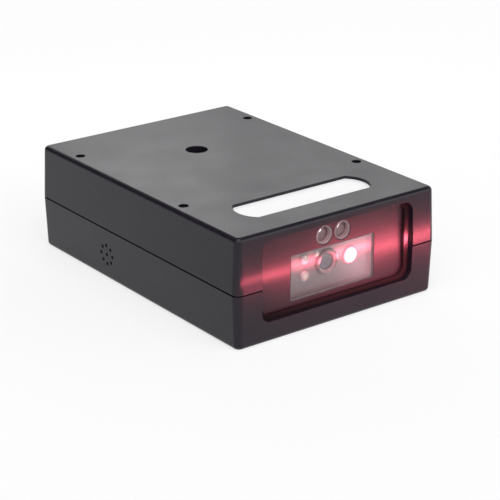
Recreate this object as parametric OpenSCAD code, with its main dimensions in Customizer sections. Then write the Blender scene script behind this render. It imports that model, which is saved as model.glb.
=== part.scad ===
// Fixed barcode reader: a two-part moulded case with a window in its front wall,
// a camera engine and two lamps behind the window, and a decoder board with a
// lead socket at the back. Millimetres, +Z up, front wall towards -Y, origin in
// the middle of the bottom face.

/* [Case] */
// Width of the case at the seam
body_width = 64; // [58:0.5:80]
// Depth of the case at the seam, from front to back
body_depth = 90; // [81:0.5:110]
// Height of the upper half, from the seam to the top
upper_height = 14.6; // [13.6:0.1:18]
// Height of the lower half, from the bottom to the seam
lower_height = 14.4; // [13.4:0.1:18]
// Radius of the upright corners at the seam
corner_radius = 2.2; // [2:0.1:4]
// Radius of the edge round the top face
top_edge_radius = 1.25; // [0.5:0.05:1.4]
// Radius of the edge round the bottom face
bottom_edge_radius = 1.2; // [0.5:0.05:1.5]
// How far each upper wall leans in by the top
upper_lean = 0.65; // [0.1:0.05:0.8]
// How far each lower wall leans in by the bottom
lower_lean = 0.5; // [0.1:0.05:0.8]
// Thickness of the side walls
wall = 2; // [1.7:0.1:2.4]
// Thickness of the roof
roof_thickness = 2.2; // [1.8:0.1:2.6]
// Thickness of the floor
floor_thickness = 2.2; // [1.8:0.1:2.6]

/* [Seam] */
// Height of the shadow line that shows between the halves
seam_gap = 0.3; // [0.1:0.05:0.5]
// Depth of the shadow line, down to the tongue behind it
seam_depth = 0.9; // [0.6:0.05:1.1]
// Height of the lower half's tongue above the seam
tongue_height = 1.2; // [0.8:0.1:2]
// Clearance all round the tongue
tongue_clearance = 0.1; // [0.05:0.01:0.2]

/* [Mounting holes] */
// Distance of the four screw holes from the sides of the case
mount_side_inset = 4; // [3.8:0.1:8]
// Distance of the rear screw holes from the back of the case
mount_back_inset = 14.7; // [12:0.1:18]
// Distance between the front and rear screw holes
mount_spacing = 48; // [40:0.5:52]
// Diameter of the four screw holes
mount_hole_d = 2.5; // [2:0.1:3.2]
// Depth of the four screw holes
mount_hole_depth = 6.5; // [4:0.1:7]
// Diameter of the single middle hole
middle_hole_d = 6; // [4:0.1:8]
// Depth of the single middle hole
middle_hole_depth = 10; // [6:0.5:11]
// Distance of the middle hole from the back of the case
middle_hole_inset = 29; // [26:0.5:40]
// Thickness of plastic round and below the middle hole
middle_boss_wall = 2.2; // [1.4:0.1:3]
// Thickness of plastic round and below the four screw holes
mount_boss_wall = 1.4; // [1:0.1:2]

/* [Plaque recess] */
// Overall length of the recess
plaque_length = 40.6; // [30:0.2:50]
// Width of the recess, from front to back
plaque_width = 10.5; // [6:0.1:12]
// Radius of the bowed ends
plaque_end_radius = 7.1; // [6.2:0.1:12]
// Depth of the recess
plaque_depth = 1; // [0.6:0.05:1.2]
// Thickness of the plaque in the recess
plaque_thickness = 0.3; // [0.2:0.05:0.5]
// Distance of the middle of the recess from the front of the case
plaque_inset = 15.1; // [12:0.1:18]
// Gap round the plaque
plaque_clearance = 0.08; // [0.04:0.01:0.2]

/* [Window opening] */
// Width of the opening in the front wall
window_width = 48.2; // [42:0.2:50]
// Corner radius of the opening
window_corner = 2.6; // [1:0.1:4]
// Depth of the front wall at the opening
window_wall = 1.95; // [1.8:0.05:2.4]
// Height of the lip that hangs from the roof over the opening
window_lip = 0.2; // [0.1:0.05:0.8]
// Height of the gap between the opening's lower edge and the clear pane
window_skirt = 2.3; // [1.6:0.1:3]

/* [Faceplate and gasket] */
// Thickness of the gasket
gasket_thickness = 0.9; // [0.5:0.05:1.5]
// How far the gasket shows at each side of the opening
gasket_side = 1.3; // [0.5:0.05:1.6]
// How far the gasket shows along the bottom of the opening
gasket_bottom = 0.95; // [0.5:0.05:1.4]
// How far the gasket shows along the top of the opening
gasket_top = 0.4; // [0.2:0.05:0.6]
// Thickness of the faceplate
faceplate_thickness = 1.8; // [1.4:0.1:2.4]
// How far the faceplate reaches behind the front wall
faceplate_overlap = 1.3; // [0.8:0.1:1.6]
// Clearance round the faceplate
faceplate_clearance = 0.1; // [0.05:0.01:0.2]

/* [Clear window] */
// Width of the clear pane
pane_width = 26.8; // [24:0.2:30]
// Height of the clear pane
pane_height = 12.1; // [11:0.1:13]
// Corner radius of the pane
pane_corner = 0.5; // [0.3:0.05:2]
// Thickness of the flange behind the faceplate
pane_flange = 0.9; // [0.6:0.1:1.4]
// How far the flange reaches round the pane and the lamp holes
pane_overlap = 0.7; // [0.5:0.05:0.9]
// Gap between the pane and its hole
pane_clearance = 0.08; // [0.04:0.01:0.15]

/* [Lamps] */
// Diameter of the lamp bodies
lamp_d = 5; // [4:0.1:5.4]
// Diameter of the lamp holes in the faceplate
lamp_hole_d = 5.1; // [4.2:0.1:5.4]
// Overall length of a lamp
lamp_length = 8.7; // [7:0.1:10]
// Distance between the lamps
lamp_spacing = 5.8; // [5.7:0.1:9]
// Height of the lamps above the top of the clear pane
lamp_rise = 3.1; // [2.9:0.05:3.6]
// Height of the lamps below the top of the window opening
lamp_drop = 3.7; // [3.3:0.05:5]
// Gap between the lamps and the clear window
lamp_gap = 0.35; // [0.1:0.05:1]
// Width of the rim round each lamp's clear lens
lamp_lens_rim = 0.35; // [0.25:0.05:0.5]
// Thickness of each lamp's lens under its dome
lamp_lens_foot = 0.35; // [0.3:0.05:0.6]
// Height of the dome of each lamp's lens
lamp_lens_rise = 0.5; // [0.3:0.05:0.6]

/* [Camera engine] */
// Height of the engine chassis
engine_height = 11.2; // [10.4:0.1:12]
// Length of the engine chassis, from front to back
engine_length = 12.4; // [11:0.1:14]
// Height of the lens axis above the middle of the clear pane
optics_rise = 0.65; // [0:0.05:1]
// Diameter of the lens barrel
lens_d = 6.6; // [6:0.1:8]
// Length of the lens barrel
lens_length = 9; // [7:0.1:10]
// Diameter of the front lens element
glass_d = 4.6; // [3:0.1:5]
// Diameter of the two small domed lamps
dome_d = 2.6; // [2:0.1:3.2]
// Distance of the domed lamps from the lens axis
dome_offset = 7; // [6.6:0.1:9]
// Distance between the two domed lamps
dome_spacing = 4.5; // [3.8:0.1:6]
// Diameter of the third, smaller domed lamp beside the lens
inner_dome_d = 1.6; // [1.4:0.1:1.8]
// Height of the smaller dome above its board
inner_dome_height = 0.9; // [0.7:0.05:1]
// Gap between the smaller domed lamp and the hole for the lens
inner_dome_gap = 0.1; // [0.05:0.05:0.4]
// Direction of the smaller domed lamp from the lens axis, above the left
inner_dome_angle = 40; // [30:1:60]
// Diameter of the aiming lamp
aiming_d = 4.6; // [3:0.1:5]
// Distance of the aiming lamp from the lens axis
aiming_offset = 7.6; // [7:0.1:10]
// Height of the domes above their board
dome_height = 1.15; // [0.8:0.05:1.6]
// Gap between the domes and the clear window
dome_gap = 0.1; // [0.05:0.05:0.5]
// Width of the pale board in front of the chassis
light_board_width = 33; // [30:0.5:36]
// How far the pale board reaches below the clear pane
light_board_drop = 2.8; // [1.5:0.1:3]
// How far the pale board reaches above the clear pane
light_board_rise = 0.7; // [0.4:0.1:1.4]
// Thickness of the engine's two boards and the lamp board
thin_board = 1; // [0.8:0.1:1.2]

/* [Main board] */
// Gap between the main board and the beeper beside it
board_side_gap = 2.5; // [1.5:0.1:4]
// Length of the flat lead's run from the camera to its port on the main board
ribbon_run = 4.8; // [4.4:0.1:8]
// Thickness of the main board
board_thickness = 1.6; // [1.2:0.1:2]
// Height of the main board above the floor
board_standoff = 2.8; // [2:0.1:3.4]
// Gap between the main board and the back wall
board_gap = 0.5; // [0.3:0.1:1]
// Distance of the board screws from the board's edges
board_screw_inset = 3; // [2.6:0.1:3.4]
// Width of the flat lead to the camera
engine_ribbon_width = 10; // [8:0.2:11]
// Width of the flat lead to the lamps
lamp_ribbon_width = 5; // [4:0.2:5.4]
// Thickness of the flat leads
ribbon_thickness = 0.3; // [0.2:0.02:0.4]

/* [Lead socket] */
// Width of the socket
socket_width = 16; // [15.2:0.1:18]
// Height of the socket
socket_height = 12; // [11.4:0.1:13]
// Length of the socket
socket_length = 17.8; // [16:0.1:19]
// How far the socket's mouth lies behind the back of the case
socket_inset = 0.7; // [0.5:0.05:1.2]
// Width of the plug's way in
plug_width = 11.8; // [11.6:0.1:12.6]
// Height of the plug's way in, without the latch
plug_height = 6.8; // [6.6:0.1:7.4]
// Depth of the plug's way in
plug_depth = 12.5; // [11:0.1:14]
// Gap between the socket and the case
socket_clearance = 0.15; // [0.05:0.01:0.3]

/* [Beeper] */
// Diameter of the beeper
beeper_d = 9.2; // [8:0.1:9.4]
// Length of the beeper
beeper_length = 5; // [4:0.1:5.4]
// Distance of the beeper from the back of the case
beeper_inset = 32.3; // [30:0.1:36]
// Height of the beeper's middle above the bottom
beeper_height = 7.1; // [7.1:0.05:8]
// Diameter of each sound hole
sound_hole_d = 0.9; // [0.6:0.05:1.2]
// Number of sound holes round the middle one
sound_holes = 8; // [6:1:10]
// Radius of the ring of sound holes
sound_ring_radius = 2.6; // [2:0.1:3.4]

/* [Screws] */
// Radius of the bosses that take the case screws
boss_radius = 3.1; // [3:0.05:3.3]
// Distance of the case screws from the sides of the case
case_screw_side = 5; // [4.9:0.1:6]
// Distance of the rear case screws from the back of the case
case_screw_back = 5; // [4.9:0.1:8]
// Distance of the front case screws from the front of the case
case_screw_front = 9.5; // [9:0.1:12]
// Depth of the shallow ring in the bottom round each case screw
screw_ring_depth = 0.3; // [0.2:0.05:0.6]
// Diameter of the case screws
case_screw_d = 2.5; // [2:0.1:2.8]
// Diameter of the case screws' heads
case_head_d = 4.2; // [3.6:0.1:4.3]
// Thickness of the case screws' heads
case_head_height = 1.6; // [1.2:0.1:2]
// Height of the seat of the case screws' heads above the bottom
case_head_seat = 8.4; // [4:0.1:10]
// How far the case screws reach into the upper half
case_screw_reach = 5.6; // [4:0.1:6.5]
// Diameter of the board and engine screws
small_screw_d = 2; // [1.6:0.1:2.2]
// Diameter of the board and engine screws' heads
small_head_d = 3.8; // [3.2:0.1:4]
// Thickness of the board and engine screws' heads
small_head_height = 1.3; // [1:0.1:1.6]
// How far the board and engine screws reach into their posts
small_screw_reach = 2.4; // [1.8:0.1:2.4]
// Clearance round a screw
screw_clearance = 0.15; // [0.05:0.01:0.3]
// Gap that leaves room for the thread between a screw and its post
thread_clearance = 0.02; // [0.01:0.01:0.05]

/* [Hidden] */

$fn = 48;
hull_fn = 32;
sliver = 0.01;
cut = 1;
least_corner = 0.3;

// Heights of the case
seam_z = lower_height;
top_z = lower_height + upper_height;
roof_z = top_z - roof_thickness;
floor_z = floor_thickness;
front_y = -body_depth / 2;
back_y = body_depth / 2;

// The window, from its top edge down
window_top = roof_z - window_lip;
lamp_z = window_top - lamp_drop;
pane_top = lamp_z - lamp_rise;
pane_z = pane_top - pane_height / 2;
window_bottom = pane_top - pane_height - window_skirt;
window_z = (window_top + window_bottom) / 2;
optics_z = pane_z + optics_rise;

// The layers behind the window, from the front wall back
gasket_y = front_y + window_wall;
faceplate_y = gasket_y + gasket_thickness;
pane_flange_y = faceplate_y + faceplate_thickness;
pane_back_y = pane_flange_y + pane_flange;
light_board_y = pane_back_y + dome_gap + dome_height;
chassis_y = light_board_y + thin_board;
sensor_board_y = chassis_y + engine_length;
lamp_tip_y = pane_back_y + lamp_gap;
lamp_board_y = lamp_tip_y + lamp_length;

// Faceplate, gasket and the seat that holds them
faceplate_width = window_width + 2 * faceplate_overlap;
faceplate_top = roof_z - 2 * faceplate_clearance;
faceplate_bottom = window_bottom - faceplate_overlap + 2 * faceplate_clearance;
faceplate_height = faceplate_top - faceplate_bottom;
faceplate_z = (faceplate_top + faceplate_bottom) / 2;
faceplate_corner = 1;
pane_recess = 0.05;
fence_width = 2;
fence_depth = 1.8;
fence_height = 5;
fence_inset = 3.8;
fence_x = faceplate_width / 2 - fence_inset;

// Mounting holes in the top, and the screws that hold the halves together
mount_x = body_width / 2 - mount_side_inset;
mount_back_y = back_y - mount_back_inset;
mount_ys = [mount_back_y - mount_spacing, mount_back_y];
mount_boss_z = top_z - mount_hole_depth - mount_boss_wall;
case_screw_x = body_width / 2 - case_screw_side;
case_screw_ys = [front_y + case_screw_front, back_y - case_screw_back];
boss_root = 0.5;
head_bore_d = case_head_d + 2 * screw_clearance;
screw_ring_margin = 0.1;
middle_hole_y = back_y - middle_hole_inset;

// Engine ears and posts
ear_width = 5.4;
ear_depth = 6;
ear_thickness = 2.4;
ear_setback = 0.2;
engine_width = light_board_width - 2 * (ear_width + ear_setback);
ear_x = engine_width / 2 + ear_width / 2;
ear_y = chassis_y + engine_length / 2;
chassis_bottom = optics_z - engine_height / 2;
chassis_top = optics_z + engine_height / 2;
post_radius = 2.2;
lens_fit = 0.05;
lens_room = 0.15;
lens_rim = 0.35;
lens_gap = 0.2;
lens_front_y = pane_back_y + lens_gap;
lens_back_y = lens_front_y + lens_length;
glass_depth = 0.9;
glass_thickness = 0.9;
glass_bulge = 0.5;
aperture_d = 3.2;
sensor_width = 7;
sensor_height = 6;
sensor_thickness = 1;
sensor_room = 2;
sensor_board_edge = 0.2;

// Foot of each domed lamp and the step round its lens
dome_foot = 0.35;
dome_shoulder = 0.12;
inner_dome_reach = lens_d / 2 + lens_room + inner_dome_gap + inner_dome_d / 2;

// Lamp board and the rails that hold it
lamp_flange_rim = 0.3;
lamp_flange_d = lamp_d + 2 * lamp_flange_rim;
lamp_flange = 1;
rail_width = 2;
rail_depth = 1;
rail_height = 1.6;
rail_floor = 0.4;
rail_fit = 0.05;
rail_gap = 0.5;
rail_x = lamp_spacing / 2 + lamp_flange_d / 2 + rail_gap;
lamp_board_bottom = chassis_top + rail_floor;
lamp_board_edge = 0.2;
lamp_board_top = lamp_z + lamp_flange_d / 2 + lamp_board_edge;
lamp_clearance = 0.15;

// Main board and what stands on it
board_z = floor_z + board_standoff;
board_top = board_z + board_thickness;
port_inset = 1;
socket_block = 2;
sensor_ribbon_y = sensor_board_y + thin_board + socket_block;
port_front_y = sensor_ribbon_y + ribbon_run;
board_back_y = back_y - wall - lower_lean - board_gap;
board_front_y = port_front_y - port_inset;
board_length = board_back_y - board_front_y;
board_width = body_width - 2 * (wall + lower_lean + beeper_length + board_side_gap);
board_screw_x = board_width / 2 - board_screw_inset;
board_screw_ys = [board_front_y + board_screw_inset, board_back_y - board_screw_inset];

// Parts on the main board: size, and place from the board's front and side edges
decoder_inset = 22;
decoder_y = board_front_y + decoder_inset;
decoder_size = [14, 14, 1.4];
memory_size = [8, 10, 1.1];
memory_inset = 7;
memory_x = memory_inset - board_width / 2;
inductor_foot = [6, 6, 0.6];
inductor_d = 5.6;
inductor_height = 2.2;
inductor_inset = 8;
inductor_place = [board_width / 2 - inductor_inset, 4];
crystal_size = [4.4, 10.6, 3.4];
crystal_inset = 8;
crystal_place = [board_width / 2 - crystal_inset, -6.5];
capacitor_size = [2, 1.2, 1.1];
capacitor_xs = [-6, -2, 2, 6];
capacitor_row = 10.5;

// Flat leads: each leaves its socket level, drops, and runs level into its port
port_length = 3;
port_height = 2.4;
port_margin = 1;
ribbon_port_z = board_top + port_height / 2;
sensor_ribbon_drop = 2.4;
sensor_ribbon_z = optics_z - sensor_ribbon_drop;
lamp_ribbon_y = lamp_board_y + thin_board + socket_block;
port_gap = 0.5;
lamp_ribbon_x = engine_ribbon_width / 2 + lamp_ribbon_width / 2 + 2 * port_margin + port_gap;
ribbon_drop_y = (sensor_ribbon_y + port_front_y) / 2;
ribbon_bend = 1;
bend_steps = 6;

// Beeper in the side wall
beeper_y = back_y - beeper_inset;
beeper_x = -body_width / 2 + wall + lower_lean;
beeper_pin_pitch = 5;
beeper_pin = 0.6;
beeper_cup_wall = 1.1;
beeper_clearance = 0.15;
beeper_cup_length = 3;
beeper_mouth_d = 2;
beeper_mouth_depth = 1;
beeper_pin_overlap = 1.5;

// Lead socket
socket_front_y = back_y - socket_inset;
socket_z = board_top + socket_height / 2;
plug_rise = 2.9;
plug_z = board_top + plug_rise + plug_height / 2;
latch_width = 6.2;
latch_height = 1.9;
contact_count = 10;
contact_pitch = 1.02;
contact_width = 0.4;
contact_thickness = 0.3;
contact_setback = 2.5;
contact_run = 5.5;
contact_fall = 2.2;

// Cross recess of the screws, as shares of the head's diameter and thickness
slot_length = 0.5;
slot_width = 0.16;
slot_depth = 0.5;

CASE_GREY = [0.2, 0.2, 0.21];
BOARD_GREEN = [0.05, 0.25, 0.14];
BLACK = [0.06, 0.06, 0.065];
CONNECTOR_WHITE = [0.85, 0.83, 0.78];
STEEL = [0.7, 0.7, 0.72];
CLEAR = [0.85, 0.9, 0.92, 0.4];

// How far the wall leans in at a height
function lean(z) = z >= seam_z
    ? upper_lean * (z - seam_z) / upper_height
    : lower_lean * (seam_z - z) / lower_height;

// Rounded rectangle about the origin
module rounded_rect(w, h, r) {
    square([w - 2 * r, h], center = true);
    square([w, h - 2 * r], center = true);
    for (x = [-1, 1], y = [-1, 1])
        translate([x * (w / 2 - r), y * (h / 2 - r)]) circle(r);
}

// Outline of the case, drawn in from the seam's outline by a distance
module case_outline(inset) {
    rounded_rect(body_width - 2 * inset, body_depth - 2 * inset, max(corner_radius - inset, least_corner));
}

// Thin slice of the case's outline whose upper face is at z
module case_slice(inset, z) {
    translate([0, 0, z - sliver]) linear_extrude(sliver) case_outline(inset, $fn = hull_fn);
}

// Solid form of the upper half: leaning walls and a rounded top edge
module upper_form() {
    start = top_z - top_edge_radius;
    hull() {
        case_slice(lean(seam_z), seam_z + sliver);
        for (t = [0 : 15 : 90])
            case_slice(lean(start) + top_edge_radius * (1 - cos(t)), start + top_edge_radius * sin(t));
    }
}

// Solid form of the lower half: leaning walls and a rounded bottom edge
module lower_form() {
    hull() {
        case_slice(lean(seam_z), seam_z);
        for (t = [0 : 15 : 90])
            case_slice(lean(bottom_edge_radius) + bottom_edge_radius * (1 - cos(t)),
                bottom_edge_radius * (1 - sin(t)) + sliver);
    }
}

// Hollow of a half between two heights
module hollow(z0, z1) {
    hull() {
        case_slice(wall + lean(z0), z0 + sliver);
        case_slice(wall + lean(z1), z1);
    }
}

// Extrudes an outline drawn in X and Z from y0 to y1
module between_y(y0, y1) {
    translate([0, y1, 0]) rotate([90, 0, 0]) linear_extrude(y1 - y0) children();
}

// Turns a form that points up so that it points to the front
module facing_front(x, y, z) {
    translate([x, y, z]) rotate([90, 0, 0]) children();
}

// Box given by its two corners
module block(x0, x1, y0, y1, z0, z1) {
    translate([x0, y0, z0]) cube([x1 - x0, y1 - y0, z1 - z0]);
}

// Spherical cap on a round foot
module dome(r, h) {
    ball = (r * r + h * h) / (2 * h);
    intersection() {
        translate([0, 0, h - ball]) sphere(ball);
        cylinder(r = r, h = h);
    }
}

// Slabs that trim the upper half's rim and the lower half's rim to a height
module below_seam(z) {
    block(-body_width, body_width, -body_depth, body_depth, seam_z - cut, z);
}

module above_seam(z) {
    block(-body_width, body_width, -body_depth, body_depth, z, seam_z + cut);
}

// Puts a copy at each of the four mounting holes
module at_mounts() {
    for (x = [-mount_x, mount_x], y = mount_ys) translate([x, y, 0]) children();
}

// Puts a copy at each of the four case screws
module at_case_screws() {
    for (x = [-case_screw_x, case_screw_x], y = case_screw_ys) translate([x, y, 0]) children();
}

// Puts a copy at each of the four board screws
module at_board_screws() {
    for (x = [-board_screw_x, board_screw_x], y = board_screw_ys) translate([x, y, 0]) children();
}

// Puts a copy at each of the two engine screws
module at_engine_screws() {
    for (x = [-ear_x, ear_x]) translate([x, ear_y, 0]) children();
}

// Opening in the front wall, with the seat for the gasket and the faceplate behind it
module window_cut() {
    half = faceplate_width / 2 + faceplate_clearance;
    between_y(front_y - cut, gasket_y + cut)
        translate([0, window_z]) rounded_rect(window_width, window_top - window_bottom, window_corner);
    block(-half, half, gasket_y, pane_flange_y + faceplate_clearance,
        faceplate_bottom - faceplate_clearance, roof_z);
}

// Two upright fences that hold the faceplate from behind
module fences(z0, z1) {
    y0 = pane_flange_y + faceplate_clearance;
    for (x = [-fence_x, fence_x])
        block(x - fence_width / 2, x + fence_width / 2, y0, y0 + fence_depth, z0, z1);
}

// Hole in the back wall for the lead socket
module socket_cut() {
    between_y(socket_front_y - wall - cut, back_y + cut)
        translate([0, socket_z])
        square([socket_width + 2 * socket_clearance, socket_height + 2 * socket_clearance], center = true);
}

// Plaque outline: straight long sides and bowed ends
module plaque_outline(inset) {
    bow = plaque_length / 2 - plaque_end_radius;
    intersection() {
        square([plaque_length, plaque_width - 2 * inset], center = true);
        union() {
            for (x = [-bow, bow]) translate([x, 0]) circle(plaque_end_radius - inset);
            square([2 * bow, 2 * plaque_end_radius], center = true);
        }
    }
}

// Two lamp-sized holes through a layer, pointing to the front
module lamp_holes(d, y0, y1) {
    for (x = [-lamp_spacing / 2, lamp_spacing / 2])
        facing_front(x, y1, lamp_z) cylinder(d = d, h = y1 - y0);
}

module upper_housing() {
    color(CASE_GREY) difference() {
        union() {
            difference() {
                upper_form();
                hollow(seam_z - cut, roof_z);
                translate([0, 0, seam_z - cut])
                    linear_extrude(cut + tongue_height + tongue_clearance)
                    case_outline(seam_depth - tongue_clearance);
                below_seam(seam_z + seam_gap / 2);
            }
            at_case_screws() translate([0, 0, seam_z])
                cylinder(r = boss_radius, h = roof_z - seam_z + boss_root);
            at_mounts() translate([0, 0, mount_boss_z])
                cylinder(d = mount_hole_d + 2 * mount_boss_wall, h = roof_z - mount_boss_z + boss_root);
            translate([0, middle_hole_y, top_z - middle_hole_depth - middle_boss_wall])
                cylinder(d = middle_hole_d + 2 * middle_boss_wall, h = middle_hole_depth + boss_root);
            fences(roof_z - fence_height, roof_z + boss_root);
        }
        window_cut();
        socket_cut();
        at_mounts() translate([0, 0, top_z - mount_hole_depth])
            cylinder(d = mount_hole_d, h = mount_hole_depth + cut);
        at_case_screws() translate([0, 0, seam_z - cut])
            cylinder(d = case_screw_d + 2 * thread_clearance, h = cut + case_screw_reach + thread_clearance);
        translate([0, middle_hole_y, top_z - middle_hole_depth])
            cylinder(d = middle_hole_d, h = middle_hole_depth + cut);
        translate([0, front_y + plaque_inset, top_z - plaque_depth])
            linear_extrude(plaque_depth + cut) plaque_outline(0);
    }
}

module lower_housing() {
    sill = faceplate_width / 2 + faceplate_clearance;
    color(CASE_GREY) difference() {
        union() {
            difference() {
                lower_form();
                hollow(floor_z, seam_z + cut);
                above_seam(seam_z - seam_gap / 2);
            }
            tongue();
            at_case_screws() translate([0, 0, floor_z - boss_root])
                cylinder(r = boss_radius, h = seam_z - floor_z + boss_root);
            at_board_screws() translate([0, 0, floor_z - boss_root])
                cylinder(r = post_radius, h = board_standoff + boss_root);
            at_engine_screws() translate([0, 0, floor_z - boss_root])
                cylinder(r = post_radius, h = chassis_bottom - floor_z + boss_root);
            block(-sill, sill, gasket_y - boss_root, pane_flange_y + faceplate_clearance,
                floor_z - boss_root, faceplate_bottom - faceplate_clearance);
            fences(floor_z - boss_root, faceplate_bottom + fence_height);
            beeper_cup();
        }
        window_cut();
        socket_cut();
        sound_rosette();
        at_case_screws() {
            translate([0, 0, -cut]) cylinder(r = boss_radius + screw_ring_margin, h = screw_ring_depth + cut);
            translate([0, 0, -cut]) cylinder(d = head_bore_d, h = case_head_seat + cut);
            cylinder(d = case_screw_d + 2 * screw_clearance, h = seam_z + cut);
        }
        at_board_screws() translate([0, 0, board_z - small_screw_reach - thread_clearance])
            cylinder(d = small_screw_d + 2 * thread_clearance, h = small_screw_reach + cut);
        at_engine_screws() translate([0, 0, chassis_bottom - small_screw_reach - thread_clearance])
            cylinder(d = small_screw_d + 2 * thread_clearance, h = small_screw_reach + cut);
    }
}

// Rim of the lower half that stands inside the upper half, cut away round the upper bosses
module tongue() {
    difference() {
        translate([0, 0, seam_z - tongue_height]) linear_extrude(2 * tongue_height) difference() {
            case_outline(seam_depth);
            case_outline(wall);
        }
        at_case_screws() translate([0, 0, seam_z])
            cylinder(r = boss_radius + tongue_clearance, h = tongue_height + cut);
    }
}

// Cup on the side wall that holds the beeper
module beeper_cup() {
    translate([beeper_x - wall / 2, beeper_y, beeper_height]) rotate([0, 90, 0]) difference() {
        cylinder(d = beeper_d + 2 * (beeper_clearance + beeper_cup_wall), h = wall / 2 + beeper_cup_length);
        translate([0, 0, wall / 2 - lower_lean])
            cylinder(d = beeper_d + 2 * beeper_clearance, h = beeper_cup_length + lower_lean + cut);
    }
}

// Ring of sound holes with one in the middle, through the side wall
module sound_rosette() {
    translate([-body_width / 2 - cut, beeper_y, beeper_height]) rotate([0, 90, 0]) {
        cylinder(d = sound_hole_d, h = wall + lower_lean + 2 * cut);
        for (i = [0 : sound_holes - 1]) rotate([0, 0, i * 360 / sound_holes])
            translate([sound_ring_radius, 0, 0]) cylinder(d = sound_hole_d, h = wall + lower_lean + 2 * cut);
    }
}

module name_plate() {
    color("white") translate([0, front_y + plaque_inset, top_z - plaque_depth])
        linear_extrude(plaque_thickness) plaque_outline(plaque_clearance);
}

module faceplate() {
    color(CASE_GREY) difference() {
        between_y(faceplate_y, pane_flange_y)
            translate([0, faceplate_z]) rounded_rect(faceplate_width, faceplate_height, faceplate_corner);
        between_y(faceplate_y - cut, pane_flange_y + cut)
            translate([0, pane_z]) rounded_rect(pane_width, pane_height, pane_corner);
        lamp_holes(lamp_hole_d, faceplate_y - cut, pane_flange_y + cut);
    }
}

module window_gasket() {
    show_top = window_top - gasket_top;
    show_bottom = window_bottom + gasket_bottom;
    color(BLACK) between_y(gasket_y, faceplate_y) difference() {
        translate([0, faceplate_z]) rounded_rect(faceplate_width, faceplate_height, faceplate_corner);
        translate([0, (show_top + show_bottom) / 2])
            rounded_rect(window_width - 2 * gasket_side, show_top - show_bottom, window_corner);
    }
}

module scan_window() {
    nose_y = faceplate_y + pane_recess;
    flange_top = lamp_z + lamp_hole_d / 2 + pane_overlap;
    flange_bottom = pane_top - pane_height - pane_overlap;
    color(CLEAR) {
        between_y(nose_y, pane_flange_y) translate([0, pane_z])
            rounded_rect(pane_width - 2 * pane_clearance, pane_height - 2 * pane_clearance, pane_corner);
        between_y(pane_flange_y, pane_back_y) translate([0, (flange_top + flange_bottom) / 2])
            rounded_rect(pane_width + 2 * pane_overlap, flange_top - flange_bottom, faceplate_corner);
    }
}

// Clear lens in a lamp hole of the faceplate: a rim round a sunk dome
module lamp_lens(x) {
    height = faceplate_thickness - pane_recess;
    radius = lamp_hole_d / 2 - pane_clearance;
    color(CLEAR) facing_front(x, pane_flange_y, lamp_z) {
        difference() {
            cylinder(r = radius, h = height);
            translate([0, 0, lamp_lens_foot]) cylinder(r = radius - lamp_lens_rim, h = height);
        }
        translate([0, 0, lamp_lens_foot]) dome(radius - lamp_lens_rim, lamp_lens_rise);
    }
}

module lamp_lens_left() {
    lamp_lens(-lamp_spacing / 2);
}

module lamp_lens_right() {
    lamp_lens(lamp_spacing / 2);
}

// One 5 mm lamp: flanged foot, round body and domed tip
module lamp(x) {
    color(CLEAR) facing_front(x, lamp_board_y, lamp_z) {
        cylinder(d = lamp_flange_d, h = lamp_flange);
        cylinder(d = lamp_d, h = lamp_length - lamp_d / 2);
        translate([0, 0, lamp_length - lamp_d / 2]) sphere(d = lamp_d);
    }
}

module lamp_left() {
    lamp(-lamp_spacing / 2);
}

module lamp_right() {
    lamp(lamp_spacing / 2);
}

module lamp_board() {
    right = lamp_ribbon_x + lamp_ribbon_width / 2 + port_margin;
    color(BOARD_GREEN) block(-rail_x - rail_width, right, lamp_board_y, lamp_board_y + thin_board,
        lamp_board_bottom, lamp_board_top);
}

module illumination_board() {
    board_low = pane_top - pane_height - light_board_drop;
    board_high = pane_top + light_board_rise;
    color([0.62, 0.6, 0.61]) difference() {
        between_y(light_board_y, chassis_y) translate([0, (board_low + board_high) / 2])
            rounded_rect(light_board_width, board_high - board_low, faceplate_corner);
        facing_front(0, chassis_y + cut, optics_z)
            cylinder(d = lens_d + 2 * lens_room, h = thin_board + 2 * cut);
        lamp_holes(lamp_d + 2 * lamp_clearance, light_board_y - cut, chassis_y + cut);
    }
}

// Domed lamp on the pale board: round foot and lens
module board_lamp(x, z, d, height) {
    color(CLEAR) facing_front(x, light_board_y, z) {
        cylinder(d = d, h = dome_foot);
        translate([0, 0, dome_foot]) dome(d / 2 - dome_shoulder, height - dome_foot);
    }
}

module illumination_led_upper() {
    board_lamp(-dome_offset, optics_z + dome_spacing / 2, dome_d, dome_height);
}

module illumination_led_lower() {
    board_lamp(-dome_offset, optics_z - dome_spacing / 2, dome_d, dome_height);
}

module illumination_led_inner() {
    board_lamp(-inner_dome_reach * cos(inner_dome_angle), optics_z + inner_dome_reach * sin(inner_dome_angle),
        inner_dome_d, inner_dome_height);
}

module aiming_led() {
    board_lamp(aiming_offset, optics_z, aiming_d, dome_height);
}

module engine_chassis() {
    half = engine_width / 2;
    bore = lens_d + 2 * lens_fit;
    chamber = sensor_thickness + sensor_room;
    color(BLACK) difference() {
        union() {
            block(-half, half, chassis_y, sensor_board_y, chassis_bottom, chassis_top);
            block(-half - ear_width, half + ear_width, ear_y - ear_depth / 2, ear_y + ear_depth / 2,
                chassis_bottom, chassis_bottom + ear_thickness);
            lamp_board_rails();
        }
        facing_front(0, lens_back_y, optics_z) cylinder(d = bore, h = lens_length);
        facing_front(0, sensor_board_y, optics_z) cylinder(d = aperture_d, h = engine_length - cut);
        between_y(sensor_board_y - chamber, sensor_board_y + cut) translate([0, optics_z])
            square([sensor_width + 2 * lens_rim, sensor_height + 2 * lens_rim], center = true);
        lamp_holes(lamp_flange_d + 2 * lamp_clearance, chassis_y - cut, lamp_board_y);
        at_engine_screws() translate([0, 0, chassis_bottom - cut])
            cylinder(d = small_screw_d + 2 * screw_clearance, h = ear_thickness + 2 * cut);
    }
}

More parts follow.
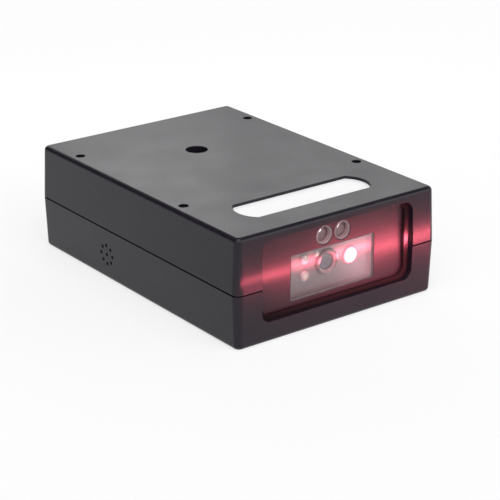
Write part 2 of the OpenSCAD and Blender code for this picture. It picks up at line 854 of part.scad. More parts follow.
// Two grooved rails on top of the chassis, in which the lamp board stands
module lamp_board_rails() {
    y0 = lamp_board_y - rail_depth;
    y1 = lamp_board_y + thin_board + rail_depth;
    for (x = [-rail_x - rail_width, rail_x]) difference() {
        block(x, x + rail_width, y0, y1, chassis_top - boss_root, chassis_top + rail_height);
        block(x - cut, x + rail_width + cut, lamp_board_y - rail_fit, lamp_board_y + thin_board + rail_fit,
            lamp_board_bottom, chassis_top + rail_height + cut);
    }
}

// Lens barrel with a flared mouth, a seat for the front glass and a narrow bore behind it
module lens_barrel() {
    mouth_d = lens_d - 2 * lens_rim;
    seat = glass_depth + glass_thickness;
    color(BLACK) facing_front(0, lens_back_y, optics_z) rotate_extrude() polygon([
        [aperture_d / 2, 0],
        [lens_d / 2, 0],
        [lens_d / 2, lens_length],
        [mouth_d / 2, lens_length],
        [glass_d / 2, lens_length - glass_depth],
        [glass_d / 2, lens_length - seat],
        [aperture_d / 2, lens_length - seat]
    ]);
}

module lens_glass() {
    radius = glass_d / 2 - lens_fit;
    seat = lens_length - glass_depth - glass_thickness;
    color([0.2, 0.2, 0.35, 0.6]) facing_front(0, lens_back_y - seat, optics_z) {
        cylinder(r = radius, h = glass_thickness);
        translate([0, 0, glass_thickness]) dome(radius, glass_bulge);
    }
}

module sensor_board() {
    half = engine_width / 2 - sensor_board_edge;
    color(BOARD_GREEN) block(-half, half, sensor_board_y, sensor_board_y + thin_board,
        chassis_bottom + sensor_board_edge, chassis_top - sensor_board_edge);
}

module image_sensor() {
    color(BLACK) block(-sensor_width / 2, sensor_width / 2, sensor_board_y - sensor_thickness,
        sensor_board_y, optics_z - sensor_height / 2, optics_z + sensor_height / 2);
}

// Socket on the back of an upright board, which grips the end of a flat lead
module board_back_socket(x, y, z, w) {
    color(CONNECTOR_WHITE) block(x - w / 2 - port_margin, x + w / 2 + port_margin, y, y + socket_block,
        z - port_height / 2, z + port_height / 2);
}

module sensor_ribbon_socket() {
    board_back_socket(0, sensor_board_y + thin_board, sensor_ribbon_z, engine_ribbon_width);
}

module lamp_ribbon_socket() {
    board_back_socket(lamp_ribbon_x, lamp_board_y + thin_board, lamp_z, lamp_ribbon_width);
}

module main_board() {
    color(BOARD_GREEN) difference() {
        translate([0, (board_front_y + board_back_y) / 2, board_z]) linear_extrude(board_thickness)
            rounded_rect(board_width, board_length, faceplate_corner);
        at_board_screws() translate([0, 0, board_z - cut])
            cylinder(d = small_screw_d + 2 * screw_clearance, h = board_thickness + 2 * cut);
    }
}

// Part on the main board, by the middle of its foot from the middle of the decoder chip
module on_board(x, y, size) {
    translate([x - size[0] / 2, decoder_y + y - size[1] / 2, board_top]) cube(size);
}

module decoder_chip() {
    color(BLACK) on_board(0, 0, decoder_size);
}

module memory_chip() {
    color(BLACK) on_board(memory_x, 0, memory_size);
}

module power_inductor() {
    color([0.25, 0.25, 0.26]) {
        on_board(inductor_place[0], inductor_place[1], inductor_foot);
        translate([inductor_place[0], decoder_y + inductor_place[1], board_top])
            cylinder(d = inductor_d, h = inductor_foot[2] + inductor_height);
    }
}

module clock_crystal() {
    end_radius = crystal_size[0] / 2 - sliver;
    color(STEEL) translate([crystal_place[0], decoder_y + crystal_place[1], board_top])
        linear_extrude(crystal_size[2]) rounded_rect(crystal_size[0], crystal_size[1], end_radius);
}

module chip_capacitors() {
    color([0.55, 0.42, 0.3]) for (x = capacitor_xs, y = [-capacitor_row, capacitor_row])
        on_board(x, y, capacitor_size);
}

// Points along a quarter bend
function bend(y, z, r, a0, a1) =
    [for (i = [0 : bend_steps]) let (a = a0 + (a1 - a0) * i / bend_steps) [y + r * cos(a), z + r * sin(a)]];

// One face of a flat lead in Y and Z, set off from its middle by a distance
function ribbon_face(y0, z0, off) = concat(
    [[y0, z0 + off]],
    bend(ribbon_drop_y - ribbon_bend, z0 - ribbon_bend, ribbon_bend + off, 90, 0),
    bend(ribbon_drop_y + ribbon_bend, ribbon_port_z + ribbon_bend, ribbon_bend - off, 180, 270),
    [[port_front_y, ribbon_port_z + off]]
);

function backwards(list) = [for (i = [len(list) - 1 : -1 : 0]) list[i]];

// Flat lead of a width, from a socket at y0 and z0 down to its port on the main board
module ribbon(x, y0, z0, w) {
    half = ribbon_thickness / 2;
    color([0.8, 0.78, 0.72]) translate([x - w / 2, 0, 0]) rotate([90, 0, 90]) linear_extrude(w)
        polygon(concat(ribbon_face(y0, z0, half), backwards(ribbon_face(y0, z0, -half))));
}

module engine_ribbon() {
    ribbon(0, sensor_ribbon_y, sensor_ribbon_z, engine_ribbon_width);
}

module lamp_ribbon() {
    ribbon(lamp_ribbon_x, lamp_ribbon_y, lamp_z, lamp_ribbon_width);
}

// Port on the main board that a flat lead runs into
module ribbon_port(x, w) {
    color(CONNECTOR_WHITE) block(x - w / 2 - port_margin, x + w / 2 + port_margin, port_front_y,
        port_front_y + port_length, board_top, board_top + port_height);
}

module engine_ribbon_port() {
    ribbon_port(0, engine_ribbon_width);
}

module lamp_ribbon_port() {
    ribbon_port(lamp_ribbon_x, lamp_ribbon_width);
}

module interface_socket() {
    mouth = socket_front_y - plug_depth;
    color(BLACK) difference() {
        between_y(socket_front_y - socket_length, socket_front_y) translate([0, socket_z])
            square([socket_width, socket_height], center = true);
        between_y(mouth, socket_front_y + cut) {
            translate([0, plug_z]) square([plug_width, plug_height], center = true);
            translate([0, plug_z - plug_height / 2 - latch_height / 2 + sliver])
                square([latch_width, latch_height + 2 * sliver], center = true);
        }
    }
}

// Sprung contacts: each lies along the roof of the plug's way in and slopes down inwards
module socket_contacts() {
    top = plug_z + plug_height / 2;
    front = socket_front_y - contact_setback;
    back = socket_front_y - plug_depth;
    t = contact_thickness;
    tip = top - contact_fall;
    color([0.85, 0.68, 0.3]) for (i = [0 : contact_count - 1])
        translate([(i - (contact_count - 1) / 2) * contact_pitch - contact_width / 2, 0, 0])
        rotate([90, 0, 90]) linear_extrude(contact_width) polygon([
            [back, top],
            [front, top],
            [front + t, top - t],
            [front - contact_run, tip],
            [front - contact_run, tip + t],
            [front - t, top - t],
            [back, top - t]
        ]);
}

module beeper() {
    color(BLACK) translate([beeper_x, beeper_y, beeper_height]) rotate([0, 90, 0]) difference() {
        cylinder(d = beeper_d, h = beeper_length);
        translate([0, 0, -cut]) cylinder(d = beeper_mouth_d, h = beeper_mouth_depth + cut);
    }
    color(STEEL) for (y = [beeper_y - beeper_pin_pitch / 2, beeper_y + beeper_pin_pitch / 2])
        block(beeper_x + beeper_length - sliver, -board_width / 2 + beeper_pin_overlap,
            y - beeper_pin / 2, y + beeper_pin / 2, board_top, board_top + beeper_pin);
}

// Screw that points up from the underside of its head, with a cross recess in the head
module screw(d, length, head_d, head_height) {
    slot = [slot_length * head_d, slot_width * head_d, slot_depth * head_height];
    difference() {
        union() {
            cylinder(d = d, h = length);
            translate([0, 0, -head_height]) cylinder(d = head_d, h = head_height);
        }
        for (a = [0, 90]) rotate([0, 0, a]) translate([-slot[0] / 2, -slot[1] / 2, -head_height - sliver])
            cube([slot[0], slot[1], slot[2] + sliver]);
    }
}

module case_screws() {
    color(STEEL) at_case_screws() translate([0, 0, case_head_seat])
        screw(case_screw_d, seam_z - case_head_seat + case_screw_reach, case_head_d, case_head_height);
}

module board_screws() {
    color(STEEL) at_board_screws() translate([0, 0, board_top]) rotate([180, 0, 0])
        screw(small_screw_d, board_thickness + small_screw_reach, small_head_d, small_head_height);
}

module engine_screws() {
    color(STEEL) at_engine_screws() translate([0, 0, chassis_bottom + ear_thickness]) rotate([180, 0, 0])
        screw(small_screw_d, ear_thickness + small_screw_reach, small_head_d, small_head_height);
}

upper_housing();
lower_housing();
name_plate();
faceplate();
window_gasket();
scan_window();
lamp_lens_left();
lamp_lens_right();
lamp_left();
lamp_right();
lamp_board();
illumination_board();
illumination_led_upper();
illumination_led_lower();
illumination_led_inner();
aiming_led();
engine_chassis();
lens_barrel();
lens_glass();
sensor_board();
image_sensor();
sensor_ribbon_socket();
lamp_ribbon_socket();
main_board();
decoder_chip();
memory_chip();
power_inductor();
clock_crystal();
chip_capacitors();
engine_ribbon();
lamp_ribbon();
engine_ribbon_port();
lamp_ribbon_port();
interface_socket();
socket_contacts();
beeper();
case_screws();
board_screws();
engine_screws();
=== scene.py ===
# %% [markdown]
# # A fixed code reader
#
# The object is a small dark box that reads printed codes. The CAD model already has every
# solid of it at its right size, so this lesson only dresses that model: soft edges, clear
# parts, small lamps, and a finish for each material. The frame is loaded first, and its box
# is kept, so that the last cell can print it.

import math

import bmesh
import bpy
from mathutils import Matrix, Vector


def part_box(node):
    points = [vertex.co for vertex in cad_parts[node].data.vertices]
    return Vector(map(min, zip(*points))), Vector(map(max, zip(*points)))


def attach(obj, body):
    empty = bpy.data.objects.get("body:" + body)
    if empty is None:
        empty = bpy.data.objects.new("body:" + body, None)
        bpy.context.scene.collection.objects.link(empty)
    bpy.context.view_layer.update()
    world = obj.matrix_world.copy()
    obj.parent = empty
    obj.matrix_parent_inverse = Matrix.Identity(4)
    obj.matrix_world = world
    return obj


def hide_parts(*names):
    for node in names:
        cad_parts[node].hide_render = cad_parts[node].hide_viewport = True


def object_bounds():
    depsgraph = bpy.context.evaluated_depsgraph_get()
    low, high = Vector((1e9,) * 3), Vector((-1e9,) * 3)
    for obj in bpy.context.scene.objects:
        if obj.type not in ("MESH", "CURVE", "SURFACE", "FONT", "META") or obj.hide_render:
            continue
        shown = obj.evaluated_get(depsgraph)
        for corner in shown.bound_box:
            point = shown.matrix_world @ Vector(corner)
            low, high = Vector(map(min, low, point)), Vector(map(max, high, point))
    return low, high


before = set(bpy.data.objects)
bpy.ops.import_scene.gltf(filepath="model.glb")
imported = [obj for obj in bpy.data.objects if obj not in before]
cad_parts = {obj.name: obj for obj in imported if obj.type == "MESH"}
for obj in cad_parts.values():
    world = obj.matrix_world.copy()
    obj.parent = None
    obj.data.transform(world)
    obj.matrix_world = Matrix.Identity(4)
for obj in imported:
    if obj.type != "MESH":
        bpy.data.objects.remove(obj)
cad_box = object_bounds()
MM = 0.001
print("nodes in the frame:", len(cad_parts))

# %% [markdown]
# ## Camera
#
# The picture looks down on the front left corner with a long lens. The turn, the tilt and the
# distance were found by fitting the case's corners and holes to the photograph. A camera's
# matrix holds the three directions right, up and back as its columns, so it can be written
# straight from those directions, with no tracking constraint.

# %% Camera
TURN, TILT = math.radians(-37.107), math.radians(21.81)
DISTANCE = 466.083  # mm from the aim to the camera
MIDDLE = Vector((0, 0, 12))
AIM_RIGHT, AIM_UP = 4.775, -6.691  # mm from that middle to the aim
FOCAL_PIXELS, PICTURE_PIXELS, SENSOR_MM = 1743.12, 500, 36

back = Vector((math.sin(TURN) * math.cos(TILT), -math.cos(TURN) * math.cos(TILT), math.sin(TILT)))
right = Vector((0, 0, 1)).cross(back).normalized()
up = back.cross(right)
aim = MIDDLE + AIM_RIGHT * right + AIM_UP * up

lens_data = bpy.data.cameras.new("long_lens")
lens_data.sensor_width = SENSOR_MM
lens_data.lens = FOCAL_PIXELS * SENSOR_MM / PICTURE_PIXELS
camera = bpy.data.objects.new("camera", lens_data)
turned = Matrix((right, up, back)).transposed().to_4x4()
camera.matrix_world = Matrix.Translation((aim + DISTANCE * back) * MM) @ turned
bpy.context.scene.collection.objects.link(camera)
bpy.context.scene.camera = camera
print("lens in mm:", round(lens_data.lens, 1))

# %% [markdown]
# ## Helpers for nodes
#
# Every finish below is a small node tree. Writing each node with its links on one line keeps
# the trees readable, so a helper makes a node, sets its properties, and either links an input
# or gives it a plain value. Patterns read Object coordinates, which are metres here, so a
# scale of 1000 means one pattern cell for each millimetre.

# %% Helpers for nodes
def node(tree, kind, inputs=None, **settings):
    made = tree.nodes.new("ShaderNode" + kind)
    for name, value in settings.items():
        setattr(made, name, value)
    for name, value in (inputs or {}).items():
        if isinstance(value, bpy.types.NodeSocket):
            tree.links.new(value, made.inputs[name])
        else:
            made.inputs[name].default_value = value
    return made


def principled(finish):
    return finish.node_tree.nodes["Principled BSDF"]


def new_finish(name):
    finish = bpy.data.materials.new(name)
    finish.use_nodes = True
    tree = finish.node_tree
    place = node(tree, "TexCoord").outputs["Object"]
    return finish, tree, principled(finish), place


def blend_colours(tree, factor, dark, light):
    mixed = node(tree, "Mix", data_type="RGBA")
    tree.links.new(factor, mixed.inputs["Factor"])
    for socket in mixed.inputs:
        if socket.type == "RGBA":
            socket.default_value = (*(dark if socket.name == "A" else light), 1)
    return next(out for out in mixed.outputs if out.type == "RGBA")


def set_all(shader, **values):
    for name, value in values.items():
        shader.inputs[name.replace("_", " ")].default_value = value


print("helpers ready")

# %% [markdown]
# ## Floor
#
# The object stands on white paper. A plane is enough for it, and a faint noise stands for the
# paper's fibres. It lies a hair below the feet, so that two faces don't share one height. Where
# the eye or a reflection meets the floor, most of it is plain white, which keeps the paper
# white and leaves a light shadow, without putting more light on the object.

# %% Finish of the floor
WHITE_SHARE = 0.70
FIBRES = 900  # cells of the noise for each metre
floor_finish, tree, shader, place = new_finish("paper_floor")
fibre = node(tree, "TexNoise", {"Vector": place, "Scale": FIBRES, "Detail": 4}).outputs["Fac"]
tone = blend_colours(tree, fibre, (0.90, 0.90, 0.90), (0.92, 0.92, 0.92))
tree.links.new(tone, shader.inputs["Base Color"])
set_all(shader, Roughness=0.9, Specular_IOR_Level=0.0)
ray = node(tree, "LightPath").outputs
seen = ray["Is Camera Ray"]
for kind in ("Is Glossy Ray", "Is Transmission Ray"):
    seen = node(tree, "Math", {0: seen, 1: ray[kind]}, operation="MAXIMUM").outputs["Value"]
share = node(tree, "Math", {0: seen, 1: WHITE_SHARE}, operation="MULTIPLY").outputs["Value"]
white = node(tree, "Emission", {"Color": (1, 1, 1, 1), "Strength": 1.0}).outputs["Emission"]
paper = node(tree, "MixShader", {0: share, 1: shader.outputs["BSDF"], 2: white})
tree.links.new(paper.outputs["Shader"], tree.nodes["Material Output"].inputs["Surface"])
print("share of plain white:", WHITE_SHARE)

# %% Floor
FLOOR_HALF = 4  # metres from the middle to an edge
FLOOR_DROP = 0.02 * MM
form = bmesh.new()
bmesh.ops.create_grid(form, x_segments=1, y_segments=1, size=FLOOR_HALF)
bmesh.ops.translate(form, verts=form.verts, vec=(0, 0, -FLOOR_DROP))
floor_mesh = bpy.data.meshes.new("floor")
form.to_mesh(floor_mesh)
form.free()
floor_mesh.materials.append(floor_finish)
floor = bpy.data.objects.new("floor", floor_mesh)
bpy.context.scene.collection.objects.link(floor)
print("floor made, metres across:", 2 * FLOOR_HALF)

# %% [markdown]
# ## Studio room
#
# Dark plastic shows the room more than its own colour. The flat top mirrors a low bright wall,
# and the rounded edges mirror what is above that wall, or beside it, so a dark ceiling and one
# dark gap at the back left draw each edge as a fine dark line. The world does this with ramps:
# two over the height of a direction, and one for each panel of the wall that is brighter or
# darker than the rest. The camera itself sees plain white there, so that a low view has the
# same white ground as a high one.

# %% Studio room
WALL, CEILING = 0.59, 0.04
BRIGHT_TOP = 3.2  # the wall's upper edge against its foot
WALL_RISES = (0.335, 0.415)  # sines of the heights between which the wall grows brighter
CEILING_STARTS = (0.44, 0.60)  # and between which it turns into the ceiling
PANELS = (  # direction, cosine where it starts, cosine where it is full, change of brightness
    ((0.34, 0.94, 0.0), 0.855, 0.915, 1.4),
    ((0.57, -0.82, 0.0), 0.80, 0.95, 3.0),
    ((-0.62, 0.78, 0.0), 0.58, 0.80, 0.10),
)


def ramp(tree, value, span, low, high):
    limits = {"From Min": span[0], "From Max": span[1], "To Min": low, "To Max": high}
    made = node(tree, "MapRange", {"Value": value, **limits}, interpolation_type="SMOOTHSTEP")
    return made.outputs["Result"]


def times(tree, first, second):
    return node(tree, "Math", {0: first, 1: second}, operation="MULTIPLY").outputs["Value"]


room = bpy.data.worlds.new("studio_room")
room.use_nodes = True
tree = room.node_tree
direction = node(tree, "TexCoord").outputs["Generated"]
height = node(tree, "SeparateXYZ", {"Vector": direction}).outputs["Z"]
level = ramp(tree, height, CEILING_STARTS, WALL, CEILING)
level = times(tree, level, ramp(tree, height, WALL_RISES, 1.0, BRIGHT_TOP))
for towards, starts, full, change in PANELS:
    facing = node(tree, "VectorMath", {0: direction, 1: towards}, operation="DOT_PRODUCT")
    level = times(tree, level, ramp(tree, facing.outputs["Value"], (starts, full), 1.0, change))
seen = node(tree, "LightPath").outputs["Is Camera Ray"]
level = node(tree, "MapRange", {"Value": seen, "To Min": level, "To Max": 1.0}).outputs["Result"]
tree.links.new(level, tree.nodes["Background"].inputs["Strength"])
set_all(tree.nodes["Background"], Color=(1, 1, 1, 1))
bpy.context.scene.world = room
bpy.context.scene.view_settings.view_transform = "Standard"
print("panels in the room:", len(PANELS))

# %% [markdown]
# ## Soft box and cards
#
# A single sun with a very wide disc is the soft box above, and its light is even over the whole
# floor. Two small white cards close behind the object are mirrored only by the left and the
# front part of the top, which gives that flat face its soft change of tone. A lamp shines
# along its own -Z, so one helper turns its Z away from what it lights.

# %% Soft box and cards
BOX_POWER, BOX_DISC = 2.3, math.radians(70)
BOX_TOWARDS = (-0.25, -0.45, 0.86)  # from the object to the soft box
CARDS_TOWARDS = (0.50, 0.78, 0.38)
CARDS = (  # middle, width and height in metres, power in watts
    ((0.076, 0.157, 0.130), (0.065, 0.10), 0.0225),
    ((0.165, 0.145, 0.130), (0.08, 0.06), 0.0140),
)


def shine_from(towards):
    return Vector(towards).to_track_quat("Z", "Y").to_euler()


soft_box = bpy.data.lights.new("soft_box", "SUN")
soft_box.energy, soft_box.angle = BOX_POWER, BOX_DISC
above = bpy.data.objects.new("soft_box", soft_box)
above.rotation_euler = shine_from(BOX_TOWARDS)
bpy.context.scene.collection.objects.link(above)
for number, (middle, size, power) in enumerate(CARDS):
    card = bpy.data.lights.new("white_card_%d" % number, "AREA")
    card.shape, card.size, card.size_y, card.energy = "RECTANGLE", *size, power
    behind = bpy.data.objects.new(card.name, card)
    behind.location = middle
    behind.rotation_euler = shine_from(CARDS_TOWARDS)
    behind.visible_camera = False
    bpy.context.scene.collection.objects.link(behind)
print("soft box strength:", round(soft_box.energy, 2), "cards:", len(CARDS))

# %% [markdown]
# ## Moulded plastics
#
# The two halves are moulded in dark ABS whose tool was spark-eroded, so the skin has a fine
# even grain. A noise of about a fifth of a millimetre gives the grain as a bump and as small
# changes of roughness. A much larger noise lets the black and the gloss wander slightly, as
# handling and the flow of the melt do in real mouldings. The black leans a little to violet.
# The same recipe with other numbers gives the front plate and other parts.

# %% Moulded plastics
CLOUDS = 70  # cells of the large noise for each metre
MIDDLE_OF_NOISE = {"From Min": 0.3, "From Max": 0.7}  # where most of a noise lies
GRAIN_GLOSS, PATCH_GLOSS = 0.05, 0.03  # changes of roughness


def moulded_plastic(name, dark, light, roughness, grain=0.22, depth=0.003, shine=0.27):
    finish, tree, shader, place = new_finish(name)
    cloud = node(tree, "TexNoise", {"Vector": place, "Scale": CLOUDS, "Detail": 3}).outputs["Fac"]
    tree.links.new(blend_colours(tree, cloud, dark, light), shader.inputs["Base Color"])
    skin = node(tree, "TexNoise", {"Vector": place, "Scale": 1 / (grain * MM), "Detail": 2,
                                   "Roughness": 0.6}).outputs["Fac"]
    gloss = node(tree, "MapRange", {"Value": skin, **MIDDLE_OF_NOISE,
                                    "To Min": roughness - GRAIN_GLOSS,
                                    "To Max": roughness + GRAIN_GLOSS}).outputs["Result"]
    patch = node(tree, "MapRange", {"Value": cloud, **MIDDLE_OF_NOISE, "To Min": -PATCH_GLOSS,
                                    "To Max": PATCH_GLOSS}).outputs["Result"]
    worn = node(tree, "Math", {0: gloss, 1: patch}, operation="ADD").outputs["Value"]
    tree.links.new(worn, shader.inputs["Roughness"])
    bump = node(tree, "Bump", {"Height": skin, "Strength": 1, "Distance": depth * MM})
    tree.links.new(bump.outputs["Normal"], shader.inputs["Normal"])
    set_all(shader, Specular_IOR_Level=shine)
    return finish


MOULDED = {  # dark tone, light tone, roughness, then grain and depth in mm and shine where they differ
    "case_plastic": ((0.0086, 0.0066, 0.0118), (0.0110, 0.0090, 0.0142), 0.30),
    "faceplate_plastic": ((0.0090, 0.0072, 0.0116), (0.0114, 0.0096, 0.0140), 0.32),
    "engine_black": ((0.012, 0.012, 0.013), (0.018, 0.018, 0.019), 0.5),
    "socket_black": ((0.010, 0.010, 0.011), (0.014, 0.014, 0.015), 0.32),
    "connector_ivory": ((0.60, 0.56, 0.45), (0.68, 0.64, 0.53), 0.45),
    "chip_black": ((0.016, 0.016, 0.017), (0.024, 0.024, 0.025), 0.6, 0.08),
    "ferrite_grey": ((0.05, 0.05, 0.055), (0.08, 0.08, 0.085), 0.7, 0.1, 0.008),
    "capacitor_tan": ((0.28, 0.17, 0.09), (0.36, 0.24, 0.13), 0.4, 0.1),
    "gasket_rubber": ((0.004, 0.004, 0.0045), (0.007, 0.007, 0.0075), 0.85, 0.12, 0.006, 0.08),
}
finishes = {name: moulded_plastic(name, *recipe) for name, recipe in MOULDED.items()}
print("moulded finishes:", len(finishes))

# %% [markdown]
# ## Plaque
#
# A thin white plate with bowed ends is stuck in the recess of the top. It stays blank here. It
# is satin lacquer on metal, so it gets a faint brushed grain: the same noise, squeezed along
# one direction by a Mapping node, becomes streaks.

# %% Plaque
BRUSHED = (250, 6000, 2000)  # cells of the streaks for each metre along X, Y and Z
finish, tree, shader, place = new_finish("plaque_white")
streak = node(tree, "Mapping", {"Vector": place, "Scale": BRUSHED}).outputs["Vector"]
brush = node(tree, "TexNoise", {"Vector": streak, "Scale": 1, "Detail": 2}).outputs["Fac"]
tone = blend_colours(tree, brush, (0.87, 0.87, 0.88), (0.90, 0.90, 0.90))
tree.links.new(tone, shader.inputs["Base Color"])
bump = node(tree, "Bump", {"Height": brush, "Strength": 0.4, "Distance": 0.002 * MM})
tree.links.new(bump.outputs["Normal"], shader.inputs["Normal"])
set_all(shader, Roughness=0.45, Specular_IOR_Level=0.3)
finishes["plaque_white"] = finish
print("plaque finish made")

# %% [markdown]
# ## Clear plastics and lenses
#
# The window is one clear acrylic moulding, and the lamps are clear epoxy. Full transmission
# with the true index bends the view as the real block does, and shows the pale strips along
# its edges. A trace of surface waviness keeps the reflections from looking like perfect glass.

# %% Clear plastics and lenses
RIPPLES = 260  # cells of the waviness for each metre
RIPPLE_GLOSS = 0.5  # how far the roughness changes, as a share of itself


def clear_plastic(name, tint, index, roughness, wave):
    finish, tree, shader, place = new_finish(name)
    set_all(shader, Base_Color=(*tint, 1), IOR=index, Transmission_Weight=1.0)
    ripple = node(tree, "TexNoise", {"Vector": place, "Scale": RIPPLES, "Detail": 2}).outputs["Fac"]
    gloss = node(tree, "MapRange", {"Value": ripple, "To Min": roughness * (1 - RIPPLE_GLOSS),
                                    "To Max": roughness * (1 + RIPPLE_GLOSS)})
    tree.links.new(gloss.outputs["Result"], shader.inputs["Roughness"])
    bump = node(tree, "Bump", {"Height": ripple, "Strength": 1, "Distance": wave * MM})
    tree.links.new(bump.outputs["Normal"], shader.inputs["Normal"])
    return finish


CLEAR = {  # tint, index of refraction, roughness, height of the waves in mm
    "clear_acrylic": ((0.97, 0.97, 0.98), 1.49, 0.02, 0.0015),
    "lamp_clear": ((0.96, 0.96, 0.97), 1.53, 0.04, 0.003),
    "lens_glass": ((0.75, 0.85, 0.95), 1.6, 0.01, 0.0),
}
for name, recipe in CLEAR.items():
    finishes[name] = clear_plastic(name, *recipe)
print("clear finishes:", len(CLEAR))

# %% [markdown]
# ## Boards
#
# Circuit boards are lacquered: copper tracks lie under the colour and show as low ridges. The
# joints of a brick pattern run like tracks, so they drive a bump and a colour change. The
# pattern lies in the XY plane, so a board that stands upright tilts it with a Mapping node.

# %% Boards
TRACKS = {"Brick Width": 17, "Row Height": 0.8, "Mortar Size": 0.09, "Mortar Smooth": 0.4}  # widths in mm
TRACK_SHIFT = 0.37  # from one row of tracks to the next, as a share of a brick
TRACK_HEIGHT = 0.02 * MM


def lacquered_board(name, ground, track, roughness, tilt=0):
    finish, tree, shader, place = new_finish(name)
    flat = node(tree, "Mapping", {"Vector": place, "Rotation": (math.radians(-tilt), 0, 0),
                                  "Scale": (1 / MM,) * 3}).outputs["Vector"]
    bricks = node(tree, "TexBrick", {"Vector": flat, "Scale": 1, **TRACKS}, offset=TRACK_SHIFT)
    copper = bricks.outputs["Fac"]
    tree.links.new(blend_colours(tree, copper, ground, track), shader.inputs["Base Color"])
    bump = node(tree, "Bump", {"Height": copper, "Strength": 0.6, "Distance": TRACK_HEIGHT})
    tree.links.new(bump.outputs["Normal"], shader.inputs["Normal"])
    set_all(shader, Roughness=roughness)
    return finish


BOARDS = {  # colour between the tracks, colour over them, roughness, tilt in degrees
    "board_green": ((0.012, 0.085, 0.03), (0.02, 0.14, 0.05), 0.35),
    "board_pale": ((0.198, 0.193, 0.198), (0.226, 0.221, 0.226), 0.45, 90),
}
for name, recipe in BOARDS.items():
    finishes[name] = lacquered_board(name, *recipe)
print("board finishes:", len(BOARDS))

# %% [markdown]
# ## Metals and film
#
# Screws, contacts and the crystal's can are metal with fine marks from turning or rolling. The
# marks are a noise that a Mapping node squeezes along the tool's path, and they change colour
# and roughness together. The flat ribbons get the same marks, but as plastic film.

# %% Metals and film
MARK_GLOSS = 0.08  # change of roughness


def bright_metal(name, dark, light, roughness, squeeze):
    finish, tree, shader, place = new_finish(name)
    path = node(tree, "Mapping", {"Vector": place, "Scale": squeeze}).outputs["Vector"]
    marks = node(tree, "TexNoise", {"Vector": path, "Scale": 1, "Detail": 3}).outputs["Fac"]
    tree.links.new(blend_colours(tree, marks, dark, light), shader.inputs["Base Color"])
    gloss = node(tree, "MapRange", {"Value": marks, "To Min": roughness - MARK_GLOSS,
                                    "To Max": roughness + MARK_GLOSS})
    tree.links.new(gloss.outputs["Result"], shader.inputs["Roughness"])
    set_all(shader, Metallic=1.0)
    return finish


METALS = {  # dark tone, light tone, roughness, cells of the marks for each metre along X, Y and Z
    "screw_steel": ((0.42, 0.42, 0.43), (0.55, 0.55, 0.56), 0.32, (900, 900, 4000)),
    "contact_gold": ((0.83, 0.58, 0.20), (0.93, 0.70, 0.30), 0.25, (4000, 600, 4000)),
    "crystal_can": ((0.55, 0.55, 0.55), (0.68, 0.68, 0.68), 0.3, (3000, 500, 3000)),
    "ribbon_film": ((0.62, 0.60, 0.56), (0.78, 0.76, 0.72), 0.4, (1600, 60, 60)),
}
for name, recipe in METALS.items():
    finishes[name] = bright_metal(name, *recipe)
set_all(principled(finishes["ribbon_film"]), Metallic=0.0)
print("metals and film:", len(METALS))

# %% [markdown]
# ## Lit lamp
#
# The aiming lamp is the one piece that gives light. A round gradient about its tip gives a
# white-hot middle that falls off to red at the rim, as a lit lamp looks through its own dome.
# With that the finishes are complete, and each CAD node gets the one that its slot names.

# %% Lit lamp
RIM_POWER, TIP_POWER = 1.8, 12.0
GLOW_SHARE = 0.62  # reach of the glow from the tip, as a share of the lamp's width
HOT = (0.05, 0.6)  # values of the gradient at the rim's power and at the tip's
finish, tree, shader, place = new_finish("aiming_lamp")
low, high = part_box("aiming_led")
tip = Vector(((low.x + high.x) / 2, low.y, (low.z + high.z) / 2))
reach = GLOW_SHARE * (high.x - low.x)
local = node(tree, "Mapping", {"Vector": place, "Location": -tip / reach, "Scale": (1 / reach,) * 3})
ball = node(tree, "TexGradient", {"Vector": local.outputs["Vector"]}, gradient_type="SPHERICAL")
heat = ball.outputs["Fac"]
tree.links.new(ramp(tree, heat, HOT, RIM_POWER, TIP_POWER), shader.inputs["Emission Strength"])
glow_tone = blend_colours(tree, heat, (1.0, 0.03, 0.08), (1.0, 0.42, 0.45))
tree.links.new(glow_tone, shader.inputs["Emission Color"])
set_all(shader, Roughness=0.25, Base_Color=(0.6, 0.05, 0.05, 1))
finishes["aiming_lamp"] = finish
print("lamp's glow reaches, in mm:", round(reach / MM, 2))

# %% Finishes on the CAD nodes
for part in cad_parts.values():
    wanted = part.material_slots[0].name.split(".")[0]
    part.material_slots[0].material = finishes[wanted]
print("finishes:", len(finishes), "for", len(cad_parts), "nodes")

# %% [markdown]
# ## Softened mouldings
#
# No moulded edge is razor sharp: the rims of holes, the window and the parting line have a tiny
# radius that catches light. The CAD solids are exact and come as loose triangles, so a copy is
# merged, its flat areas are made single faces again, and its sharp edges are bevelled. The copy
# then stands in for the node, with smooth shading that stops at what is still sharp.

# %% Helpers for softened mouldings
SHARP, FLAT = math.radians(40), math.radians(1)
SAME_POINT = 0.002 * MM


def merged_copy(name):
    form = bmesh.new()
    form.from_mesh(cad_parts[name].data)
    bmesh.ops.remove_doubles(form, verts=form.verts, dist=SAME_POINT)
    bmesh.ops.dissolve_limit(form, angle_limit=FLAT, verts=form.verts, edges=form.edges)
    return form


def sharp_edges(form):
    return [edge for edge in form.edges if len(edge.link_faces) == 2 and edge.calc_face_angle(0) > SHARP]


def soften(form, edges, radius):
    bmesh.ops.bevel(form, geom=edges, offset=radius * MM, offset_type="OFFSET", affect="EDGES",
                    segments=3, profile=0.5, material=-1, clamp_overlap=False)


